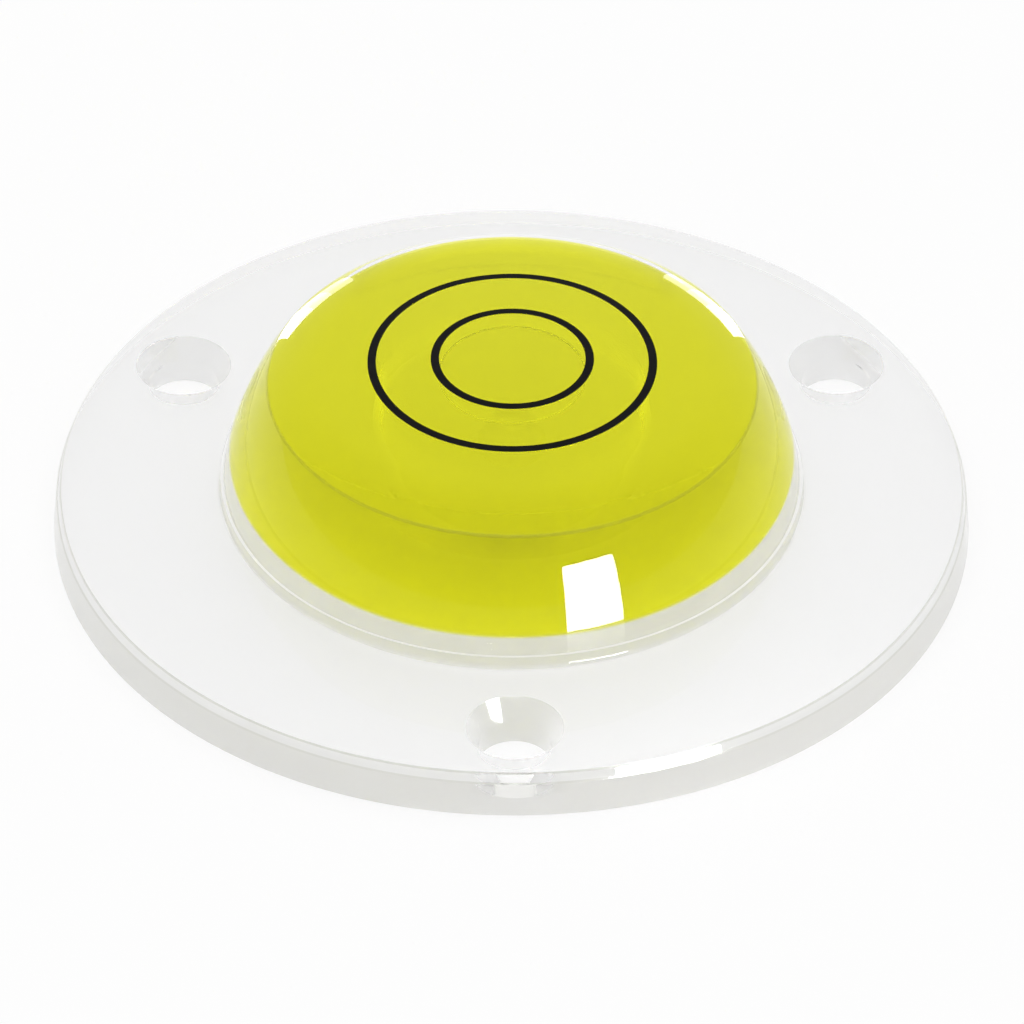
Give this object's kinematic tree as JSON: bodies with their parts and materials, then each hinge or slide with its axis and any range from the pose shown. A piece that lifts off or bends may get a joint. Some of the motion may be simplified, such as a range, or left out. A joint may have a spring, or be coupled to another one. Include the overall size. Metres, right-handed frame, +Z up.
{
  "type": "bullseye level",
  "caption": "Round clear bullseye level with a screw-down flange, a tinted liquid chamber under a shallow lens, an air bubble and printed target rings.",
  "frame": {"origin": "centre of the flange's underside", "axes": "+Z up along the level's own axis, out through the lens; one screw hole stands towards -Y, which is the picture's front; +X is to the right"},
  "size_m": [0.06, 0.06, 0.0135],
  "materials": {
    "clear_plastic": "clear polished moulded acrylic",
    "clear_disc": "clear polished moulded acrylic",
    "clear_plug": "clear turned acrylic",
    "tinted_liquid": "clear yellow-green tinted spirit",
    "air": "air bubble in the spirit",
    "ring_ink": "matt black ink"
  },
  "bodies": {
    "root": {"body": "clear_plastic", "closing_disc": "clear_disc", "filling_plug": "clear_plug", "liquid": "tinted_liquid", "bubble": "air", "ring_inner": "ring_ink", "ring_outer": "ring_ink"}
  },
  "joints": []
}
